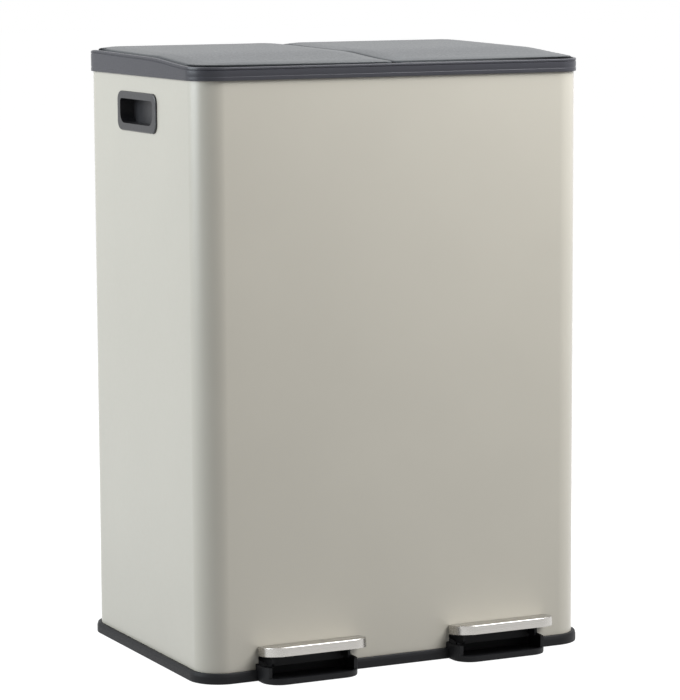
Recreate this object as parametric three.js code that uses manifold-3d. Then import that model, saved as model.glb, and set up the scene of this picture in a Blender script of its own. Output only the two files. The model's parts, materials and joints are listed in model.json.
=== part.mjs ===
// Double recycling bin: a painted sheet wrap on a black moulded base, with a moulded
// rim, two crowned lids hinged at the back, and one pedal for each lid.
// Millimetres, +Z up, -Y is the front. Everything is drawn round the centre of the
// wrap on the floor, and the last group moves it so that the origin is the centre of
// the whole footprint, pedals included.

import * as THREE from 'three';
import { mergeVertices } from 'three/addons/utils/BufferGeometryUtils.js';
import Module from 'manifold-3d';

const wasm = await Module();
wasm.setup();

// ---------------------------------------------------------------- sizes

// wrap
const bodyWidth = 446;
const bodyDepth = 308;
const cornerRadius = 29;
const sheet = 0.8;

// clearances
const seatGap = 0.3; // between pieces that touch
const runningGap = 0.4; // round pins, and beside levers and rods
const slideGap = 1; // between a moving piece and an edge it passes
const bite = 1; // how far joined shapes reach into each other
const through = 5; // how far a cutting shape passes the face it cuts

// base moulding
const ringProud = 5;
const ringTopProud = 3.6;
const ringBottom = 1;
const ringSeat = 6;
const ringShoulder = 8.5;
const ringTop = 12;
const baseWall = 2.5;
const deckTop = 50;
const deckPlate = 2.5;
const notchTop = 34.4;

// rubber feet
const footRadius = 9;
const footTaper = 1;
const footHeight = 3;
const footInset = 25;
const postWall = 3;

// tray in front of each pedal
const trayReach = 34;
const trayWidth = 108;
const trayCorner = 20;
const trayEdge = 0.8;
const trayWall = 3;
const trayWallTop = 18;
const trayBackTop = 11; // top of the low wall behind the tray, under the pressed pedal
const trayLip = 7;
const trayMouth = 9; // how far back the front wall is cut down to the lip
const trayFloorFront = 6.4;
const trayFloor = 3.2;
const trayInside = 13; // how far the tray reaches behind the wrap's face

// rim
const rimBottom = 620;
const rimFront = 13.7; // height of the rim along the front
const rimProud = 2.5;
const rimWall = 3.2;
const rimEdge = 0.8;
const rimRound = 1.1;
const rimGroove = 0.5;
const rimGrooveDrop = 2.4;
const sheetInRim = 1.5;
const shelfRise = 4;
const shelfPlate = 3;
const shelfWidth = 12.8;
const rearLedge = 35;
const tongueDrop = 13;
const tongueWall = 2.5;
const crossbarWidth = 12;
const crossbarWeb = 3;
const crossbarDepth = 14;

// crown of the lids, seen from the side: a gentle slope, a dip to the front and a tail
const crestRise = 9.5; // crest above the front edge
const crestFromBack = 35;
const crownSlope = 0.018;
const dipFromFront = 14;
const dipLength = 110;
const tailFromBack = 37;
const tailRadius = 140;
const rimBelowLid = 2.1;

// lids
const lidGap = 1.2;
const lidBackGap = 6.5;
const seamGap = 2.6;
const lidWall = 2.2;
const lidSkirt = 7.5;
const lidRearSkirt = 4.4;
const lidRearCorner = 36;
const lidSeamCorner = 9;
const lidOpen = 75;
// rounded edge and pillow of a lid: inset from its outline, and drop below its edge line
const lidCrown = [[0, 2.4], [0.6, 1], [2, 0.2], [5, 0], [11, -0.84], [24, -1.4]];

// liner under each lid
const linerBack = 22;
const linerPlate = 1.8;
const linerDepth = 3.6;
const linerInset = 0.9;

// hinges
const hingeFromBack = 13;
const hingeDrop = 9.6; // axis below the crest
const hingePinRadius = 2;
const hingePinEnd = 1;
const knuckleRadius = 4;
const knuckleLength = 12;
const earPlate = 3;
const earLean = 5;
const hingeFromSeam = 32;
const hingeFromSide = 38;

// pedals
const pedalTilt = 7;
const axleFromFront = 74;
const axleZ = 23;
const axleRadius = 3;
const axleEnd = 1.5;
const axleHub = 6.5;
const hubWidth = 44;
const lugPlate = 4;
const lugFoot = 4; // how much wider a lug is at the deck than at the axle, each way
const clipPlate = 1;
const clipWall = 3;
const clipMouth = 4;

// steel cap of a pedal, and the moulded arm under it, level with the axle at the origin
const capWidth = 118;
const capShift = 6; // the cap sits to one side of the arm
const capFront = 108;
const capDepth = 32.6;
const capTop = 4.3;
const capBand = 9.8;
const capSheet = 0.8;
const capRound = 1;
const capCorner = 21;
const capRearCorner = 2.5;
const armWidth = 90;
const armWall = 3;
const armPlate = 3.5;
const armStep = 2.4; // the arm's neck is this far below its head
const armFront = 94;
const armBack = 58;
const skirtFront = -16;
const skirtBack = -11.2;
const skirtChamfer = 3;
const panelSetBack = 16; // the upright panel stands this far behind the front of the arm
const panelBottom = -17.5;
const gussets = [22, 34];
const gussetPlate = 2;
const gussetSetBack = 2;
const gussetBottom = -8.5;
const forkReach = 6; // past the lever's nose
const forkBottom = -6;

// crank under a lid
const crankRadius = 18.05;
const crankBoss = 5.5;
const crankFlange = [48, 24]; // front and back edges, measured forwards from the hinge
const crankWeb = [14, 4]; // forwards from the pin, and below the top of the flange
const crankHeelDrop = 7;
const crankHeelTop = 2;
const crankSlotBack = 10.5; // back of the slot in the rim, behind the middle of the rod
const flangeWidth = 16;
const flangePlate = 2;
const flangeScrews = [6, 14]; // from the front of the flange

// riveted pins
const pinRadius = 2;
const pinHead = 3.6;
const pinHeadPlate = 1.2;

// levers: outlines are y, z from the axle
const leverPlate = 3;
const leverNose = 30;
const leverNoseTop = 1;
const leverNoseDepth = 7;
const leverTop = [[20, 1.5], [4, 5.5], [-4, 1]];
const leverUnder = [[0, -6], [20, -8.5]];
const leverTail = 5.5;
const leverTailNeck = 12;

// push rods
const rodPinZ = 12;
const rodWidth = 10;
const rodPlate = 3;
const rodEndWall = 3;
const rodEndLap = 4; // the bar of a rod starts this far inside its ends
const rodLost = 0.75; // free play of the crank's pin, up and down in the rod's slot
const slotFlat = 0.1;

// rod cover
const coverWall = 2;
const coverDrop = 7; // top of a cover below the rim's tongue
const coverFlange = 8;
const coverRoom = 6; // inside a cover, on each side of the rod
const coverFront = 3.2; // from the rod to the outside of the cover
const guideHeight = 10;
const guideDepth = 3;
const guideFromEnd = 30;

// buckets
const bucketWall = 2.2;
const bucketRimDrop = 1; // below the rim's shelf
const bucketRim = 5;
const bucketFlange = 9;
const bucketRound = 1.2;
const bucketCorner = 26;
const bucketDraft = 7;
const bucketClear = 2.2;
const bucketBevel = 5;

// side grips
const gripY = 6;
const gripDrop = 38; // middle of a grip below the rim
const bezelLength = 104;
const bezelHeight = 41.5;
const bezelCorner = 10;
const bezelProud = 2.2;
const bezelRound = [[0, 1.2], [0.4, 0.4], [1.4, 0]]; // inset, and depth below the face
const bezelLap = 2.5;
const pocketLength = 88;
const pocketHeight = 26;
const pocketDepth = 14;
const pocketUndercut = 5;
const pocketShoulder = 10; // the undercut is shorter than the pocket by this at each end
const pocketWall = 1.6;
const pocketCorners = [11, 11, 5, 5];

// screws and bumpers
const screwRadius = 1.6;
const screwHead = 3.4;
const screwHeadHeight = 1.8;
const screwEnd = 2;
const bumperRadius = 4;
const bumperStem = 1.5;
const bumperInset = 7;
const bumperFromSide = 70;

// facets
const arcSteps = 5;
const smallArcSteps = 3;
const pinSides = 12;

// ---------------------------------------------------------------- derived places

const rad = THREE.MathUtils.degToRad;
const { lerp, smoothstep } = THREE.MathUtils;
const halfW = bodyWidth / 2;
const halfD = bodyDepth / 2;
const inWrap = sheet + seatGap; // base and rim stand this far inside the wrap's face
const wrapTop = rimBottom + sheetInRim;
const deckUnder = deckTop - deckPlate;
const shelfTop = rimBottom + shelfRise;
const tongueBottom = rimBottom - tongueDrop;
const crestY = halfD - crestFromBack;
const crestZ = rimBottom + rimFront + rimBelowLid + crestRise;
const crownDip = crestRise - crownSlope * (crestY + halfD);
const dipFront = -halfD + dipFromFront;
const tailFrom = halfD - tailFromBack;
const hingeY = halfD - hingeFromBack;
const hingeZ = crestZ - hingeDrop;
const bayPitch = bodyWidth / 2;
const ribFromBay = (trayWidth - trayWall) / 2 + bite / 2;
const axleY = -halfD + axleFromFront;
const halfSwing = rad(lidOpen / 2);
const crankPinY = hingeY - crankRadius * Math.cos(halfSwing);
const crankPinZ = hingeZ - crankRadius * Math.sin(halfSwing);
const crankSway = crankRadius * (1 - Math.cos(halfSwing)) / 2;
const rodY = crankPinY - crankSway;
const coverTop = tongueBottom - coverDrop;
const bucketTop = shelfTop - bucketRimDrop;
const gripZ = rimBottom - gripDrop;
const bayFront = -halfD + shelfWidth;
const bayBack = halfD - rearLedge;
const centreShift = (trayReach - ringProud) / 2;

// where a side's profile bends
const crownStations = [
  ...[0.8, 0.6, 0.4, 0.2, 0].map((share) => dipFront + dipLength * (1 - share)),
  crestY, (crestY + hingeY) / 2,
];

// ---------------------------------------------------------------- materials

const paint = new THREE.MeshStandardMaterial({ color: 0xc6c1b6, roughness: 0.42, metalness: 0.25 });
const blackPlastic = new THREE.MeshStandardMaterial({ color: 0x27272a, roughness: 0.5, metalness: 0 });
const rimPlastic = new THREE.MeshStandardMaterial({ color: 0x3a3b40, roughness: 0.38, metalness: 0 });
const lidPlastic = new THREE.MeshStandardMaterial({ color: 0x4a4c50, roughness: 0.34, metalness: 0 });
const greyPlastic = new THREE.MeshStandardMaterial({ color: 0x55585c, roughness: 0.6, metalness: 0 });
const brushedSteel = new THREE.MeshStandardMaterial({ color: 0xc9c6bf, roughness: 0.3, metalness: 1 });
const platedSteel = new THREE.MeshStandardMaterial({ color: 0x9ea1a4, roughness: 0.4, metalness: 1 });
const rubber = new THREE.MeshStandardMaterial({ color: 0x1b1b1c, roughness: 0.9, metalness: 0 });

// ---------------------------------------------------------------- solids

function toSolid(geometry) {
  geometry.deleteAttribute('normal');
  geometry.deleteAttribute('uv');
  const merged = mergeVertices(geometry, 1e-4);
  return new wasm.Manifold(new wasm.Mesh({
    numProp: 3,
    vertProperties: new Float32Array(merged.attributes.position.array),
    triVerts: new Uint32Array(merged.index.array),
  }));
}

function toGeometry(solid) {
  const mesh = solid.getMesh();
  const geometry = new THREE.BufferGeometry();
  geometry.setAttribute('position', new THREE.BufferAttribute(new Float32Array(mesh.vertProperties), 3));
  geometry.setIndex(new THREE.BufferAttribute(new Uint32Array(mesh.triVerts), 1));
  return geometry;
}

const join = (...solids) => solids.reduce((whole, next) => whole.add(next));
const cut = (solid, ...tools) => tools.reduce((left, tool) => left.subtract(tool), solid);

// a shape drawn in X-Y and raised along Z, turned so that it is drawn in Y-Z and
// reaches along X
function turnToX(geometry) {
  geometry.rotateY(Math.PI / 2);
  geometry.rotateX(Math.PI / 2);
  return geometry;
}

function block([x0, x1], [y0, y1], [z0, z1]) {
  const box = new THREE.BoxGeometry(x1 - x0, y1 - y0, z1 - z0);
  box.translate((x0 + x1) / 2, (y0 + y1) / 2, (z0 + z1) / 2);
  return toSolid(box);
}

function pinAlongX(radius, [x0, x1], y, z, sides = pinSides) {
  const pin = new THREE.CylinderGeometry(radius, radius, x1 - x0, sides);
  pin.rotateZ(Math.PI / 2);
  pin.translate((x0 + x1) / 2, y, z);
  return toSolid(pin);
}

function pinAlongZ(radius, x, y, [z0, z1], sides = pinSides) {
  const pin = new THREE.CylinderGeometry(radius, radius, z1 - z0, sides);
  pin.rotateX(Math.PI / 2);
  pin.translate(x, y, (z0 + z1) / 2);
  return toSolid(pin);
}

// a plate across X, with its outline given as [y, z] points
function sidePlate(points, [x0, x1]) {
  const shape = new THREE.Shape(points.map(([y, z]) => new THREE.Vector2(y, z)));
  const plate = turnToX(new THREE.ExtrudeGeometry(shape, { depth: x1 - x0, bevelEnabled: false }));
  plate.translate(x0, 0, 0);
  return toSolid(plate);
}

function arc(cx, cy, radius, from, to, steps) {
  const points = [];
  for (let i = 0; i <= steps; i += 1) {
    const angle = rad(from + (to - from) * i / steps);
    points.push([cx + radius * Math.cos(angle), cy + radius * Math.sin(angle)]);
  }
  return points;
}

// A rounded rectangle, anticlockwise from its front left corner, moved outwards by grow.
// corners holds the radii front left, front right, back right, back left. The two sides
// that run front to back are divided at stations, so that they can follow a profile.
function outline({ left, right, front, back, corners }, grow = 0, stations = [], steps = arcSteps) {
  const [fl, fr, br, bl] = corners.map((radius) => Math.max(radius + grow, 0.5));
  const [x0, x1, y0, y1] = [left - grow, right + grow, front - grow, back + grow];
  const alongSide = (x, low, high) => stations.filter((y) => y > low + bite && y < high - bite)
    .map((y) => [x, y]);
  return [
    ...arc(x0 + fl, y0 + fl, fl, 180, 270, steps),
    ...arc(x1 - fr, y0 + fr, fr, 270, 360, steps),
    ...alongSide(x1, y0 + fr, y1 - br),
    ...arc(x1 - br, y1 - br, br, 0, 90, steps),
    ...arc(x0 + bl, y1 - bl, bl, 90, 180, steps),
    ...alongSide(x0, y0 + fl, y1 - bl).reverse(),
  ];
}

function roundedPlate(length, height, radius) {
  const plan = {
    left: -length / 2, right: length / 2, front: -height / 2, back: height / 2,
    corners: [radius, radius, radius, radius],
  };
  return outline(plan, 0, [], smallArcSteps);
}

// triangles that close an outline, joined across from its left side to its right side
function closeAcross(ring) {
  const ys = ring.map((point) => point[1]);
  const lowest = ys.indexOf(Math.min(...ys));
  const highest = ys.indexOf(Math.max(...ys));
  const count = ring.length;
  const triangles = [];
  let right = lowest;
  let left = lowest;
  while (right !== highest || left !== highest) {
    const nextRight = (right + 1) % count;
    const nextLeft = (left + count - 1) % count;
    const goRight = left === highest || (right !== highest && ring[nextRight][1] <= ring[nextLeft][1]);
    const next = goRight ? nextRight : nextLeft;
    if (right !== left && next !== left && next !== right) triangles.push([right, next, left]);
    if (goRight) right = nextRight;
    else left = nextLeft;
  }
  return triangles;
}

// A skin over a stack of rings with equal numbers of [x, y, z] points. closed joins the
// last ring to the first, and otherwise both ends are closed across. The material lies
// inside the rings where the stack climbs.
function skinGeometry(rings, closed) {
  const count = rings[0].length;
  const index = [];
  const bands = closed ? rings.length : rings.length - 1;
  for (let ring = 0; ring < bands; ring += 1) {
    const low = ring * count;
    const high = ((ring + 1) % rings.length) * count;
    for (let i = 0; i < count; i += 1) {
      const j = (i + 1) % count;
      index.push(low + i, low + j, high + j, low + i, high + j, high + i);
    }
  }
  if (!closed) {
    const top = (rings.length - 1) * count;
    closeAcross(rings[0]).forEach(([a, b, c]) => index.push(a, c, b));
    closeAcross(rings[rings.length - 1]).forEach(([a, b, c]) => index.push(top + a, top + b, top + c));
  }
  const geometry = new THREE.BufferGeometry();
  geometry.setAttribute('position', new THREE.BufferAttribute(new Float32Array(rings.flat(2)), 3));
  geometry.setIndex(index);
  return geometry;
}

const skin = (rings, closed = false) => toSolid(skinGeometry(rings, closed));

// rings of one plan at several [grow, z] levels, where z may be a function of y
function levels(plan, list, stations = [], steps = arcSteps) {
  return list.map(([grow, z]) => outline(plan, grow, stations, steps)
    .map(([x, y]) => [x, y, typeof z === 'function' ? z(y) : z]));
}

// ---------------------------------------------------------------- layout

const bodyPlan = {
  left: -halfW, right: halfW, front: -halfD, back: halfD,
  corners: [cornerRadius, cornerRadius, cornerRadius, cornerRadius],
};

const bays = [-1, 1].map((side) => {
  const x = side * bayPitch / 2;
  const leverX = [x - leverPlate / 2, x + leverPlate / 2];
  const rodFrom = leverX[1] + runningGap;
  return {
    name: side < 0 ? 'left' : 'right',
    side,
    x,
    leverX,
    rodX: [rodFrom, rodFrom + rodPlate],
    hingeX: [side * (halfW - hingeFromSide), side * hingeFromSeam],
  };
});

// height of a lid's edge along the side of the bin
function lidEdge(y) {
  const slant = crownSlope * Math.max(0, crestY - y);
  const dip = crownDip * (1 - smoothstep(y, dipFront, dipFront + dipLength));
  const tail = Math.max(0, y - tailFrom) ** 2 / (2 * tailRadius);
  return crestZ - slant - dip - tail;
}

const below = (drop) => (y) => lidEdge(y) - drop;
const rimTop = below(rimBelowLid);

function skirtEnd(y) {
  const rear = smoothstep(y, tailFrom - through, hingeY - knuckleRadius);
  return lidEdge(y) - lerp(lidSkirt, lidRearSkirt, rear);
}

function lidPlan(side) {
  const inset = rimProud - rimWall - lidGap;
  const outer = halfW + inset;
  const front = -halfD - inset;
  const back = halfD + rimProud - lidBackGap;
  const lidCorner = cornerRadius + inset;
  const seam = seamGap / 2;
  return side < 0
    ? { left: -outer, right: -seam, front, back, corners: [lidCorner, lidSeamCorner, lidSeamCorner, lidRearCorner] }
    : { left: seam, right: outer, front, back, corners: [lidSeamCorner, lidCorner, lidRearCorner, lidSeamCorner] };
}

// ---------------------------------------------------------------- wrap and base

function makeWrap() {
  const bottom = ringSeat + seatGap;
  const wrap = skin(levels(bodyPlan, [[0, bottom], [0, wrapTop], [-sheet, wrapTop], [-sheet, bottom]]), true);
  const gripHole = roundedPlate(bezelLength - 2 * bezelLap, bezelHeight - 2 * bezelLap, bezelCorner - bezelLap)
    .map(([y, z]) => [y + gripY, z + gripZ]);
  const grips = [-halfW, halfW].map((x) => sidePlate(gripHole, [x - through, x + through]));
  const face = [-halfD - through, -halfD + through];
  const notches = bays.flatMap(({ x }) => {
    const wide = trayWidth / 2 + seatGap;
    const narrow = trayWidth / 2 - trayWall;
    return [
      block([x - wide, x + wide], face, [0, trayWallTop + seatGap]),
      block([x - narrow, x + narrow], face, [0, notchTop]),
    ];
  });
  return cut(wrap, ...grips, ...notches);
}

const footPlaces = [[-1, -1], [1, -1], [1, 1], [-1, 1]]
  .map(([x, y]) => [x * (halfW - footInset), y * (halfD - footInset)]);

function makeBase() {
  const ring = skin(levels(bodyPlan, [[ringProud, ringBottom], [ringProud, ringShoulder],
    [ringTopProud, ringTop], [seatGap, ringTop], [seatGap, ringSeat], [-inWrap, ringSeat],
    [-inWrap, deckTop], [-inWrap - baseWall, deckTop], [-inWrap - baseWall, ringBottom]]), true);
  const deck = skin(levels(bodyPlan, [[-inWrap - bite, deckUnder], [-inWrap - bite, deckTop]]));
  const posts = footPlaces.map(([x, y]) => pinAlongZ(footRadius + seatGap + postWall, x, y,
    [ringBottom, deckUnder + bite]));
  const seats = footPlaces.map(([x, y]) => pinAlongZ(footRadius + seatGap, x, y, [0, footHeight + seatGap]));
  const added = bays.flatMap((bay) => [makeTray(bay), ...axleLugs(bay)]);
  const cuts = bays.flatMap((bay) => [trayCavity(bay), trayOpening(bay), pedalPassage(bay),
    axleBore(bay), rodHole(bay)]);
  return cut(join(ring, deck, ...posts, ...baseRibs(), ...added), ...seats, ...cuts);
}

// upright ribs under the deck, kept clear of the bays where the levers swing
function baseRibs() {
  const reach = halfD - inWrap - bite;
  const wide = halfW - inWrap - bite;
  const inner = bayPitch / 2 - ribFromBay;
  const outer = bayPitch / 2 + ribFromBay;
  const span = [ringSeat, deckUnder + bite];
  const thick = (at) => [at - baseWall / 2, at + baseWall / 2];
  const lengthwise = [0, -inner, inner, -outer, outer].map((x) => block(thick(x), [-reach, reach], span));
  const across = [-halfD / 2, 0, halfD / 2].flatMap((y) => [
    block([-inner, inner], thick(y), span),
    block([-wide, -outer], thick(y), span),
    block([outer, wide], thick(y), span),
  ]);
  return [...lengthwise, ...across];
}

function trayPlan(bay) {
  return {
    left: bay.x - trayWidth / 2, right: bay.x + trayWidth / 2,
    front: -halfD - trayReach, back: -halfD + trayInside,
    corners: [trayCorner, trayCorner, bite, bite],
  };
}

function makeTray(bay) {
  return skin(levels(trayPlan(bay), [[-trayEdge, ringBottom], [0, ringBottom + trayEdge], [0, trayWallTop]]));
}

// hollow of a tray: its floor falls from the lip to the wrap's face
function trayCavity(bay) {
  const plan = trayPlan(bay);
  const top = notchTop + seatGap;
  const prism = skin(levels(plan, [[-trayWall, ringBottom], [-trayWall, top]]));
  const wedge = sidePlate([[plan.front, trayFloorFront], [-halfD, trayFloor], [plan.back, trayFloor],
    [plan.back, top + bite], [plan.front, top + bite]], [plan.left, plan.right]);
  return prism.intersect(wedge);
}

// the front of a tray is cut down to its lip between the ends of the side walls
function trayOpening(bay) {
  const { left, right, front } = trayPlan(bay);
  return block([left - bite, right + bite], [front - bite, front + trayMouth], [trayLip, trayWallTop + bite]);
}

// way for the pedal over the low wall behind the tray
function pedalPassage(bay) {
  const { left, right, back } = trayPlan(bay);
  return block([left + trayWall, right - trayWall], [back - trayWall - bite, back + bite],
    [trayBackTop, notchTop + seatGap]);
}

function axleLugs(bay) {
  return [-1, 1].map((side) => {
    const near = side * (hubWidth / 2 + runningGap);
    const far = side * (hubWidth / 2 + runningGap + lugPlate);
    const foot = axleHub + lugFoot;
    return sidePlate([[axleY + foot, deckUnder + bite], [axleY - foot, deckUnder + bite],
      ...arc(axleY, axleZ, axleHub, 180, 360, 8)],
    [bay.x + Math.min(near, far), bay.x + Math.max(near, far)]);
  });
}

const axleBore = (bay) => pinAlongX(axleRadius + seatGap, [bay.x - hubWidth, bay.x + hubWidth], axleY, axleZ);

const rodHole = (bay) => block([bay.rodX[0] - slideGap, bay.rodX[1] + slideGap],
  [rodY - rodWidth / 2 - slideGap, rodY + rodWidth / 2 + slideGap], [deckUnder - bite, deckTop + bite]);

function makeFoot([x, y]) {
  const foot = new THREE.CylinderGeometry(footRadius, footRadius - footTaper, footHeight, pinSides);
  foot.rotateX(Math.PI / 2);
  foot.translate(x, y, footHeight / 2);
  return toSolid(foot);
}

// ---------------------------------------------------------------- rim

function makeRim() {
  const ring = skin(levels(bodyPlan, [
    [rimProud - rimEdge, rimBottom],
    [rimProud, rimBottom + rimEdge],
    [rimProud, below(rimBelowLid + rimGrooveDrop + 2 * rimGroove)],
    [rimProud - rimGroove, below(rimBelowLid + rimGrooveDrop + rimGroove)],
    [rimProud, below(rimBelowLid + rimGrooveDrop)],
    [rimProud, below(rimBelowLid + rimRound)],
    [rimProud - rimRound * 0.3, below(rimBelowLid + rimRound * 0.3)],
    [rimProud - rimRound, rimTop],
    [rimProud - rimWall, rimTop],
    [rimProud - rimWall, shelfTop],
    [-shelfWidth, shelfTop],
    [-shelfWidth, shelfTop - shelfPlate],
    [-inWrap - tongueWall, shelfTop - shelfPlate],
    [-inWrap - tongueWall, tongueBottom],
    [-inWrap, tongueBottom],
    [-inWrap, wrapTop + seatGap],
    [seatGap, wrapTop + seatGap],
    [seatGap, rimBottom],
  ], crownStations), true);
  const plateZ = [shelfTop - shelfPlate, shelfTop];
  const inside = halfW - shelfWidth + bite;
  const ledge = block([-inside, inside], [bayBack, halfD - shelfWidth + bite], plateZ);
  const bar = block([-crossbarWidth / 2, crossbarWidth / 2], [bayFront - bite, bayBack + bite], plateZ);
  const reach = halfD - inWrap - bite;
  const web = block([-crossbarWeb / 2, crossbarWeb / 2], [-reach, reach],
    [shelfTop - crossbarDepth, shelfTop - bite]);
  const ears = bays.flatMap((bay) => bay.hingeX.flatMap(hingeEars));
  const throughShelf = [shelfTop - shelfPlate - bite, shelfTop + bite];
  const slots = bays.map((bay) => block(
    [bay.leverX[0] - slideGap, bay.rodX[1] + runningGap + pinHeadPlate + slideGap],
    [bayBack - bite, rodY + crankSlotBack],
    throughShelf,
  ));
  const bores = bays.flatMap((bay) => bay.hingeX.map((x) => hingeBore(x, seatGap)));
  const studs = bumperPlaces.map(([x, y]) => pinAlongZ(bumperStem + seatGap, x, y, throughShelf));
  return cut(join(ring, ledge, bar, web, ...ears), ...slots, ...bores, ...studs);
}

const hingeBore = (x, gap) => pinAlongX(hingePinRadius + gap,
  [x - knuckleLength, x + knuckleLength], hingeY, hingeZ);

function hingeEars(x) {
  const shape = [[hingeY - knuckleRadius - earLean, shelfTop - bite], [hingeY, shelfTop - bite],
    ...arc(hingeY, hingeZ, knuckleRadius, -90, 180, 9)];
  const near = knuckleLength / 2 + runningGap;
  return [[x - near - earPlate, x - near], [x + near, x + near + earPlate]]
    .map((span) => sidePlate(shape, span));
}

function makeHingePin(x) {
  const half = knuckleLength / 2 + runningGap + earPlate + hingePinEnd;
  return pinAlongX(hingePinRadius, [x - half, x + half], hingeY, hingeZ);
}

const bumperPlaces = [-1, 1].flatMap((side) => [bumperFromSide, halfW - bumperFromSide]
  .map((x) => [side * x, -halfD + bumperInset]));

function makeBumper([x, y]) {
  const top = lidEdge(y - bumperRadius) - lidSkirt - seatGap;
  return join(pinAlongZ(bumperRadius, x, y, [shelfTop + seatGap, top]),
    pinAlongZ(bumperStem, x, y, [shelfTop - shelfPlate, shelfTop + bite], 8));
}

// ---------------------------------------------------------------- lids

function makeLid(bay) {
  const [pillowInset, pillowDrop] = lidCrown[lidCrown.length - 1];
  const [shoulderInset] = lidCrown[3];
  const shell = skin(levels(lidPlan(bay.side), [
    [-pillowInset, below(pillowDrop + lidWall)],
    [-shoulderInset, below(lidWall)],
    [-lidWall, below(lidWall + bite)],
    [-lidWall, skirtEnd],
    [0, skirtEnd],
    ...lidCrown.map(([inset, drop]) => [-inset, below(drop)]),
  ], crownStations));
  const spans = bay.hingeX.map((x) => [x - knuckleLength / 2, x + knuckleLength / 2]);
  const knuckles = spans.flatMap((span) => [
    pinAlongX(knuckleRadius, span, hingeY, hingeZ),
    block(span, [hingeY - knuckleRadius, hingeY + knuckleRadius], [hingeZ, lidEdge(hingeY) - bite]),
  ]);
  const bores = bay.hingeX.map((x) => hingeBore(x, runningGap));
  return cut(join(shell, ...knuckles), ...bores);
}

// a shallow tray that closes the underside of a lid in front of its hinges
function makeLiner(bay) {
  const plan = lidPlan(bay.side);
  const inset = lidWall + linerInset;
  plan.back = halfD - linerBack + inset;
  const tray = skin(levels(plan, [
    [-inset, below(lidSkirt)],
    [-inset, below(lidSkirt - linerDepth)],
    [-inset - linerPlate, below(lidSkirt - linerDepth)],
    [-inset - linerPlate, below(lidSkirt - linerPlate)],
  ], crownStations));
  return cut(tray, ...screwHoles(bay));
}

const flangeFront = hingeY - crankFlange[0];
const flangeTop = lidEdge(flangeFront) - lidSkirt - seatGap;

const crankScrews = (bay) => flangeScrews.map((fromFront) => [bay.leverX[0] - flangeWidth / 2,
  flangeFront + fromFront]);

const screwHoles = (bay) => crankScrews(bay).map(([x, y]) => pinAlongZ(screwRadius + seatGap, x, y,
  [flangeTop - through, flangeTop + through]));

// steel crank under the rear of a lid: its pin rides on the push rod
function makeCrank(bay) {
  const [webFront, webDrop] = crankWeb;
  const plate = sidePlate([
    [flangeFront, flangeTop],
    [flangeFront, flangeTop - flangePlate],
    [crankPinY - webFront, flangeTop - webDrop],
    ...arc(crankPinY, crankPinZ, crankBoss, 200, 360, 7),
    [crankPinY + crankBoss, flangeTop - crankHeelDrop],
    [crankPinY - crankHeelTop, flangeTop],
  ], bay.leverX);
  const flange = block([bay.leverX[0] - flangeWidth, bay.leverX[1]], [flangeFront, hingeY - crankFlange[1]],
    [flangeTop - flangePlate, flangeTop]);
  return cut(join(plate, flange, ...crossPin(bay, crankPinY, crankPinZ)), ...screwHoles(bay));
}

// a pin with a flat head, riveted into a lever or crank, that carries the rod
function crossPin(bay, y, z) {
  const head = bay.rodX[1] + runningGap;
  return [pinAlongX(pinRadius, [bay.leverX[1] - bite, head + pinHeadPlate / 2], y, z),
    pinAlongX(pinHead, [head, head + pinHeadPlate], y, z)];
}

function makeScrew([x, y]) {
  const headTop = flangeTop - flangePlate - seatGap;
  const shankTop = flangeTop + linerPlate + screwEnd;
  return join(pinAlongZ(screwHead, x, y, [headTop - screwHeadHeight, headTop], 10),
    pinAlongZ(screwRadius, x, y, [headTop - screwHeadHeight / 2, shankTop], 8));
}

// ---------------------------------------------------------------- push rods

function makeLever(bay) {
  const fromAxle = ([y, z]) => [axleY + y, axleZ + z];
  const noseY = axleY - leverNose * Math.cos(rad(pedalTilt));
  const noseZ = axleZ + leverNose * Math.sin(rad(pedalTilt)) - leverNoseTop;
  const neckY = rodY - leverTailNeck;
  const plate = sidePlate([
    ...arc(rodY, rodPinZ, leverTail, -90, 90, 6),
    [neckY, rodPinZ + leverTail],
    ...leverTop.map(fromAxle),
    [noseY, noseZ],
    [noseY, noseZ - leverNoseDepth],
    ...leverUnder.map(fromAxle),
    [neckY, rodPinZ - leverTail],
  ], bay.leverX);
  const bore = pinAlongX(axleRadius + runningGap, [bay.x - hubWidth, bay.x + hubWidth], axleY, axleZ);
  return cut(join(plate, ...crossPin(bay, rodY, rodPinZ)), bore);
}

function makeRod(bay) {
  const foot = slottedEnd(bay, rodPinZ, pinRadius + slideGap, pinRadius + runningGap);
  const head = slottedEnd(bay, crankPinZ, pinRadius + crankSway + runningGap, pinRadius + rodLost);
  const bar = block(bay.rodX, [rodY - rodWidth / 2, rodY + rodWidth / 2],
    [rodPinZ + rodEndLap, crankPinZ - rodEndLap]);
  return cut(join(bar, foot.plate, head.plate), foot.slot, head.slot);
}

// the rounded end of a rod, with a slot across it for a pin
function slottedEnd(bay, z, halfSlot, halfHeight) {
  const place = ([y, up]) => [rodY + y, z + up];
  const plate = roundedPlate(2 * (halfSlot + rodEndWall), 2 * (halfHeight + rodEndWall), rodEndWall + bite);
  const slot = roundedPlate(2 * halfSlot, 2 * halfHeight, halfHeight - slotFlat);
  return {
    plate: sidePlate(plate.map(place), bay.rodX),
    slot: sidePlate(slot.map(place), [bay.rodX[0] - bite, bay.rodX[1] + bite]),
  };
}

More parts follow.
